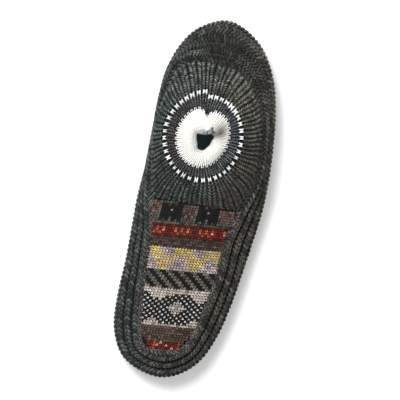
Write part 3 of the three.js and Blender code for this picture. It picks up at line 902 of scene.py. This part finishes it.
# Small holes where the cuff is decreased: degrees round from the toe's side, and share of the way in
CUFF_HOLES = [(142, 0.68), (152, 0.59), (169, 0.68)]
WHITE_STITCH = 4.3
RIB_SWAY = 0.25               # columns that a rib strays from its straight way
RIB_ROW = 1.85                # millimetres from stitch to stitch up a rib
JOG_REACH = 8                 # columns over which the white round's jog fades
DARK_ROUNDS = 5
CUFF_ROUNDS = 11
CUFF_STEPS = 401              # points of the cuff's net round it


def white_height(column):
    """Share of the way up the collar at which each column meets the white round's outer edge"""
    heights = np.linspace(0, 1, 241)
    points = collar(column[None, :], heights[:, None])
    away = np.mod(column - JOG_COLUMN, COLUMNS)
    jog = WHITE_RING["jog"] * (np.exp(-(away / JOG_REACH) ** 2)
                               - np.exp(-((COLUMNS - away) / JOG_REACH) ** 2))
    x = points[..., 0] - RING_CENTRE[0] - WHITE_RING["x"]
    y = points[..., 1] - RING_CENTRE[1] - WHITE_RING["y"]
    reach = WHITE_STITCH / 2 + jog
    distance = np.hypot(x / (WHITE_RING["length"] / 2 + reach), y / (WHITE_RING["width"] / 2 + reach))
    outside = distance > 1
    last = len(heights) - 1 - np.argmax(outside[::-1], axis=0)
    return heights[np.clip(last, 0, len(heights) - 1)]


def even_columns(steps):
    """Columns of the collar that lie evenly spaced round the cuff, from the jog round to the jog"""
    column = JOG_COLUMN + np.linspace(0, COLUMNS, 20 * COLUMNS + 1)
    points = mix(collar(column, 0 * column + 0.8), collar(column, 0 * column), 0.15)
    way = np.concatenate([[0], np.cumsum(np.linalg.norm(np.diff(points, axis=0), axis=-1))])
    return np.interp(np.linspace(0, way[-1], steps), way, column)


def collar_net(low, high, rows, columns=6 * COLUMNS + 1):
    """Points of the collar between two of its heights, and the column that each lies on"""
    column = even_columns(columns)
    column[-1] -= 1e-6
    share = np.linspace(0, 1, rows)[:, None]
    white = white_height(column)
    ends = {"foot": 0 * white, "white": white, "cuff": 0 * white + 1}
    height = mix(ends[low][None, :], ends[high][None, :], share)
    sway = (RIB_SWAY * np.sin(2 * math.pi * (3 * column / COLUMNS + 0.9 * height))
            * 4 * height * (1 - height))
    return collar(column[None, :] + sway, height), column


def side_colour(x, y, light=1.0):
    """Marl greys, cooler on the inner side of the foot, warmer on the outer, paler to the back"""
    share = float(np.clip(y / 60 + 0.5, 0, 1))
    paler = 1 + 0.7 * float(np.clip((RING_CENTRE[0] - x) / 40, 0, 1))
    return shade(blended(linear("404746"), linear("48463f"), share), light * paler)


def make_collar():
    rib_rows = 40
    ribs, column = collar_net("foot", "white", rib_rows)
    around = collar_angle(column)
    slack = np.clip(np.maximum(-np.cos(around), -0.85 * np.sin(around)), 0, 1)
    ribbing = np.clip((0.95 - slack) / 0.5, 0.15, 1)
    turns = np.linspace(0, RIBS, len(column))
    relief = 0.5 * (1 - np.cos(turns * 2 * math.pi)) * ribbing
    up = np.linspace(0, 1, rib_rows)[:, None]
    fade = np.clip(up / 0.45, 0, 1)
    lift = relief[None, :] * fade - 0.9 + 0.3 * fade
    ribbed = placed(ribs) + net_normals(placed(ribs)) * (lift * MM)[..., None]
    net = add_net("net_ribs", ribbed)
    shell = add_shell("rib_ground", ribbed, -0.6, -2.2)
    stitches, shaded_groove_threads = [], []
    lengths = path_lengths(ribs, 0)
    for rib in range(RIBS):
        u = (2 * rib + 1) / COLUMNS
        at = int(round(u * (ribs.shape[1] - 1)))
        rows = max(4, int(round(lengths[at] / RIB_ROW)))
        for row in range(rows):
            v = (row + 0.55) / (rows + 0.05)
            x, y, _ = ribs[min(int(v * (rib_rows - 1)), rib_rows - 1), at]
            # Ribs are painted darker toward the collar's foot and darkest next to the seam: painted
            # shade where the collar meets the band
            painted_seam_shade = (0.66 + 0.34 * min(1, v / 0.4)) * (0.45 if v < 0.09 else 1.0)
            tone = side_colour(x, y, painted_seam_shade * varied(1.1, 0.4, 0.35, 2.4))
            if y > 8 and x > RING_CENTRE[0] and rng.random() < 0.2:
                tone = shade(linear("513f3b"), painted_seam_shade)
            stitches.append((u, v, (2.05 - 0.3 * ribbing[at]) / COLUMNS, 1 / rows, 1.0, tone))
        # Threads in the grooves between ribs, at about half the lightness of the ribs' yarn: painted
        # shade in the grooves
        u = (2 * rib + 2) / COLUMNS - 0.002
        for row in range(rows // 2 if rib < RIBS - 1 else 0):
            v = (row + 0.5) / (rows // 2)
            shaded_groove_threads.append((u, v, 0.6 / COLUMNS, 2 / rows, 0.6,
                            side_colour(RING_CENTRE[0], 0, 0.5 + 0.15 * rng.standard_normal())))
    panels = knit("collar_ribs", net, RIB_STITCH, UPPER_WOOL, stitches, uneven=0.14)
    grooves = knit("collar_grooves", net, V_STITCH, UPPER_WOOL, shaded_groove_threads)

    ring, column = collar_net("white", "cuff", 20)
    net = add_net("net_ring", placed(ring))
    ground = add_shell("ring_ground", placed(ring), -0.6, -2.2)
    lengths = path_lengths(ring, 0)
    whites, darks, teeth = [], [], []
    for rib in range(RIBS):
        u = (2 * rib + 1) / COLUMNS
        at = int(round(u * (ring.shape[1] - 1)))
        tall = WHITE_STITCH / lengths[at]
        backward = max(0.0, -math.cos(float(collar_angle(column[at]))))
        whites.append((u, 0.5 * tall, (1.4 + 0.5 * backward) / COLUMNS,
                       (0.7 + 0.14 * backward) * tall, 1.1,
                       shade(WHITE, varied(0.92, 0.1, 0.6, 1.05))))
        teeth.append((u, 0.955, 1.3 / COLUMNS, 0.11, 0.8, CREAM))
        for row in range(DARK_ROUNDS):
            v = tall + (1 - tall) * (row + 0.5) / DARK_ROUNDS
            tone = shade(blended(GREY_BLUE, GREY_WARM, 0.5 + 0.5 * math.sin(2 * math.pi * u)),
                         varied(0.97, 0.3, 0.3, 1.8))
            darks.append((u, v, 2 / COLUMNS, (1 - tall) / DARK_ROUNDS, 0.9, tone))
    white_round = knit("white_round", net, PAIR_STITCH, CREAM_YARN, whites, uneven=0.2)
    cuff_teeth = knit("cuff_teeth", net, TALL_STITCH, CREAM_YARN, teeth, uneven=0.12)
    dark_ring = knit("dark_ring", net, RIB_STITCH, UPPER_WOOL, darks)
    return [panels, grooves, shell, white_round, cuff_teeth, dark_ring, ground]


def shading(away, v, spot):
    """How strongly a shaded spot of the cuff shows: 1 at its middle, and less all round"""
    return (math.exp(-(away / spot["width"]) ** 2)
            * math.exp(-((v - spot["way"]) / spot["way_width"]) ** 2))


def make_cuff():
    column = even_columns(CUFF_STEPS)
    share = np.linspace(0, 1, 41)
    points = cuff(*np.meshgrid(column, share))
    net = add_net("net_cuff", placed(points), closed=True)
    ground = add_shell("cuff_ground", placed(points), -0.5, -1.9, closed=True)
    stitches = []
    for rib in range(RIBS):
        u = (2 * rib + 1) / COLUMNS
        angle = math.degrees(float(collar_angle(np.interp(u, np.linspace(0, 1, CUFF_STEPS), column))))
        away = (angle - CREASE["angle"] + 180) % 360 - 180
        for row in range(CUFF_ROUNDS):
            v = (row + 0.5) / CUFF_ROUNDS
            crease = shading(away, v, CREASE_SHADED)
            hollow = shading(angle % 360 - HOLLOW_SHADED["angle"], v, HOLLOW_SHADED)
            tone = blended(CREAM, HOLLOW_SHADE, hollow * float(rng.random() > 0.35))
            tone = blended(tone, CREASE_SHADE, 0.95 * crease) if v < 0.82 else MOUTH_SHADE
            if any(abs(angle % 360 - turn) < 5 and abs(v - way) < 0.05 for turn, way in CUFF_HOLES):
                tone = HOLE_SHADE
            stitches.append((u, v, 2 / COLUMNS, 1 / CUFF_ROUNDS, 0.9,
                             shade(tone, 1 + 0.03 * rng.standard_normal())))
    piece = knit("cuff_knit", net, TALL_STITCH, CREAM_YARN, stitches)
    return [piece, ground]


def heel_share(place):
    """1 round the heel, where the band lies flat and slack, and 0 along the sides"""
    from_heel = np.abs(np.mod(np.asarray(place, float) + TURN / 2, TURN) - TURN / 2)
    return np.clip((4.5 - from_heel) / 2.5, 0, 1)


ROUND_STEPS = 749              # points round the nets of band and seam
BAND_STITCH = 3.3              # millimetres from stitch to stitch round the band
SEAM_STITCH = 3.0


def even_round(curve):
    """Way round a closed curve: its places, its points and the length up to each, then shares of a
    turn that run past the start, and the place of each share"""
    place = np.linspace(0, TURN, 40 * TURN + 1)
    line = curve(place)
    travelled = np.concatenate([[0], np.cumsum(np.linalg.norm(np.diff(line, axis=0), axis=-1))])
    turn_share = np.linspace(-BAND_OVERLAP, 1 + BAND_OVERLAP, ROUND_STEPS)
    even = np.interp(np.mod(turn_share, 1) * travelled[-1], travelled, place)
    return place, line, travelled, turn_share, even


def ridged(place, heights, depth):
    """How far the band stands out from the wall: rounded ridges, flatter and fuller at the heel"""
    heel = heel_share(place)[None, :]
    ridge = 0.5 * (1 - np.cos(heights * RIDGES * 2 * math.pi))[:, None]
    return FIT_GAP + BAND_WALL - depth + heel + (2.3 - 0.8 * heel) * ridge


def make_band():
    place, line, travelled, turn_share, even = even_round(out_line)
    heights = np.linspace(0, 1, 73)
    grid = wall(even[None, :], heights[:, None], ridged(even, heights, 1.7))
    u, v = np.meshgrid(turn_share, heights)
    net = add_net("net_band", placed(grid), stack(u, v, 0.0))
    round_place = np.linspace(0, TURN, 12 * TURN + 1)
    under = ridged(round_place, heights, 2.2)
    closed_grid = wall(round_place[None, :], heights[:, None], np.maximum(under, 1.0))
    ground = add_shell("band_ground", placed(closed_grid), 0, -0.6, closed=True)
    stitches = []
    count = int(round(travelled[-1] / BAND_STITCH))
    for ridge_number in range(RIDGES):
        v = (ridge_number + 0.5) / RIDGES
        for step in range(count):
            u = (step + 0.5 * (ridge_number % 2) + 0.25) / count
            y = float(np.interp(u * travelled[-1], travelled, line[:, 1]))
            share = float(np.clip(y / 70 + 0.5, 0, 1))
            tone = shade(blended(linear("393e3b"), linear("3d3a34"), share),
                         varied(1, 0.42, 0.4, 2.4))
            here = np.interp(u * travelled[-1], travelled, place)
            fill = 0.76 + 0.24 * float(heel_share(here))
            # Stitches in a heel fold are made darker, painted shade, and those just above a fold
            # lighter, a painted highlight on its crest
            painted_fold_shade = min(1.0, float(fold_depth(here, v)) / BAND_WALL)
            crest = min(1.0, float(fold_depth(here, v - 0.08)) / BAND_WALL)
            paler = 1 + 0.3 * float(heel_share(here))
            tone = shade(tone, paler * (1 - 0.62 * painted_fold_shade) * (1 + 0.6 * crest * (1 - painted_fold_shade)))
            stitches.append((u, v, 1 / count, fill / RIDGES, 1.0, tone))
    piece = knit("side_band_knit", net, BRAID_STITCH, BAND_WOOL, stitches, uneven=0.06,
                 overlap=BAND_OVERLAP)
    return [piece, ground]


def make_seam():
    """Chain of stitches that sews the upper down along the top of the band"""
    place, _, travelled, turn_share, even = even_round(seam_line)
    into = inward(seam_line, even)
    toe = 0.5 * (INNER_TOE + OUTER_TOE)
    shift = np.interp(even, [0, 6.5, 8, INNER_TOE, toe, OUTER_TOE, 20, 21.5, TURN],
                      [1.4, 1.4, -0.9, -0.6, 2.2, -0.6, -0.9, 1.4, 1.4])[:, None]
    low = wall(even, 0.955 + 0 * even, 2.6 + 0 * even)
    crest = (seam_line(even) + np.array([0, 0, 1.6]) + shift * into
             + np.maximum(shift, 0) * [0, 0, 1.0])
    high = crest + into * 1.9 - np.array([0, 0, 0.5])
    grid = np.stack([low, crest, high])
    u, v = np.meshgrid(turn_share, np.linspace(0, 1, 3))
    net = add_net("net_seam", placed(grid), stack(u, v, 0.0))
    count = int(round(travelled[-1] / SEAM_STITCH))
    stitches = []
    for step in range(count):
        here = float(np.interp((step + 0.5) / count * travelled[-1], travelled, place))
        # The chain's dark yarn is partly its own colour and partly painted shade in the join, darkest
        # beside the collar and heel, where the rib ends meet the band
        code = "4a4544" if 7 < here < 21 else "2c2d2a"
        tone = shade(linear(code), varied(1, 0.35, 0.3, 2.2))
        stitches.append(((step + 0.5) / count, 0.5, 1 / count, 0.8, 0.6, tone))
    return [knit("seam_chain", net, BRAID_STITCH, BAND_WOOL, stitches, overlap=BAND_OVERLAP)]


def slab(name, inset_low, z_low, inset_high, z_high, edges=3):
    """Flat layer between two loops inside the slipper's widest line, closed above and below"""
    place = np.linspace(0, TURN, 8 * TURN, endpoint=False)
    loops = []
    middle = np.zeros_like(out_line(place))
    middle[:, 0] = np.clip(out_line(place)[:, 0], 0.12 * LENGTH, 0.9 * LENGTH)
    share = np.linspace(0, 1, edges)
    for part in share:
        point = out_line(place) + inward(out_line, place) * mix(inset_low, inset_high, part)
        point[:, 2] = mix(z_low, z_high, part)
        loops.append(point)
    loops = [mix(loops[0], middle + [0, 0, z_low], 0.96) * [1, 1, 0] + [0, 0, z_low]] + loops
    loops += [mix(loops[-1], middle, 0.96) * [1, 1, 0] + [0, 0, z_high]]
    grid = placed(np.array(loops))
    rows, columns = grid.shape[:2]
    numbers = np.arange(rows * columns).reshape(rows, columns)
    after = np.roll(numbers, -1, axis=1)
    faces = np.stack([numbers[:-1], after[:-1], after[1:], numbers[1:]], axis=-1)
    faces = faces.reshape(-1, 4).tolist()

    def strip(ring):
        """Closes a loop with short faces across it, which follow the lift of the sole"""
        return [[ring[i], ring[i + 1], ring[-2 - i], ring[-1 - i]] for i in range(len(ring) // 2 - 1)]
    faces += [face[::-1] for face in strip(numbers[0].tolist())] + strip(numbers[-1].tolist())
    return add_mesh(name, grid, faces)


SOLE_STITCH = {"width": 4.8, "row": 4.0}
SOLE_SIDES = (-56, 56)         # ends of the sole's net across and along, in millimetres
SOLE_ENDS = (-2, LENGTH + 2)


def make_sole():
    ground = slab("sole_ground", BAND_TUCK + 1.6, 0.9, BAND_TUCK, SOLE_THICKNESS)
    x, y = np.meshgrid(np.linspace(*SOLE_ENDS, 160), np.linspace(*SOLE_SIDES[::-1], 60), indexing="ij")
    points = stack(x, y, 1.3)
    wrap = stack(share_of(y, SOLE_SIDES), share_of(x, SOLE_ENDS), 0.0)
    net = add_net("net_sole", placed(points)[:, ::-1], wrap[:, ::-1])
    place = np.linspace(0, TURN, 8 * TURN)
    border = out_line(place) + inward(out_line, place) * (BAND_TUCK + 2.4)
    wide, tall = SOLE_STITCH["width"], SOLE_STITCH["row"]
    stitches = []
    tone_grey = linear("4f524b")
    for row in range(int(LENGTH / tall)):
        for column in range(int(100 / wide)):
            x, y = 2 + row * tall, -49 + column * wide
            if is_inside(x, y, border[:, :2]):
                stitches.append((share_of(y, SOLE_SIDES), share_of(x, SOLE_ENDS),
                                 wide / (SOLE_SIDES[1] - SOLE_SIDES[0]),
                                 tall / (SOLE_ENDS[1] - SOLE_ENDS[0]), 1.2,
                                 shade(tone_grey, 1 + 0.15 * rng.standard_normal())))
    piece = knit("sole_knit_rows", net, V_STITCH, SOLE_WOOL, stitches)
    return [piece, ground]


def dress(pieces, material, nodes=()):
    """Gives pieces their cloth and place in the frame, the first in place of the solids named"""
    for piece in pieces:
        if not piece.data.materials:
            piece.data.materials.append(material)
            for polygon in piece.data.polygons:
                polygon.use_smooth = True
        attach(piece, "root")
    if nodes:
        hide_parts(*nodes)


dress(make_vamp() + make_collar(), GREY_BACKING_SHADED, ["upper"])
dress(make_cuff(), CREAM_BACKING_SHADED, ["cuff"])
dress(make_band() + make_seam(), GREY_BACKING_SHADED, ["side_band"])
wall_place = np.linspace(0, TURN, 8 * TURN + 1)[None, :]
inner_wall = wall(wall_place, np.linspace(0, 1, 16)[:, None], np.zeros((16, 8 * TURN + 1)))
lining = add_shell("wall_lining", placed(inner_wall), -0.3, -2.3, closed=True)
dress([lining], LINING_CLOTH)
dress(make_sole(), GREY_BACKING_SHADED, ["sole"])
insole_edge = WALL_INSET + BAND_TUCK + UPPER_WALL + FIT_GAP
felt = slab("insole_felt_layer", insole_edge + 0.6, FOOT_Z,
            insole_edge + 0.4, FOOT_Z + INSOLE_THICKNESS)
dress([felt], FELT, ["insole"])

for helper in [o for o in bpy.data.objects if o.name.startswith(("net_", "stitch_"))]:
    bpy.data.objects.remove(helper)

# Floor, light and camera
sc = bpy.context.scene
sc.view_settings.view_transform = "Standard"
bpy.ops.mesh.primitive_plane_add(size=6)
floor = bpy.context.object
floor.name = "floor"
floor.data.materials.append(plain_material("paper_white", "f4f4f4"))


def add_area(name, place, size, power):
    light = bpy.data.lights.new(name, "AREA")
    light.size = size
    light.energy = power
    lamp = add_object(name, light)
    lamp.location = place
    lamp.rotation_euler = (-lamp.location).to_track_quat("-Z", "Y").to_euler()


add_area("window_light", (-0.7, -0.6, 1.4), 0.8, 34)
add_area("room_light", (0.6, 0.7, 1.6), 1.2, 12)
world = bpy.data.worlds.new("white_room")
sc.world = world
world.use_nodes = True
world.node_tree.nodes["Background"].inputs["Color"].default_value = (1, 1, 1, 1)
world.node_tree.nodes["Background"].inputs["Strength"].default_value = 0.45

FRAME_WIDTH = PHOTO_PIXELS * MM_PER_PIXEL * MM
CAMERA_HEIGHT = 3.0
camera_data = bpy.data.cameras.new("camera")
camera = add_object("camera", camera_data)
camera.location = (0, 0, CAMERA_HEIGHT)
camera.rotation_euler = (0, 0, math.radians(100.04))
camera_data.lens = camera_data.sensor_width * (CAMERA_HEIGHT - 0.02) / FRAME_WIDTH
camera_data.clip_start = 0.05
sc.camera = camera
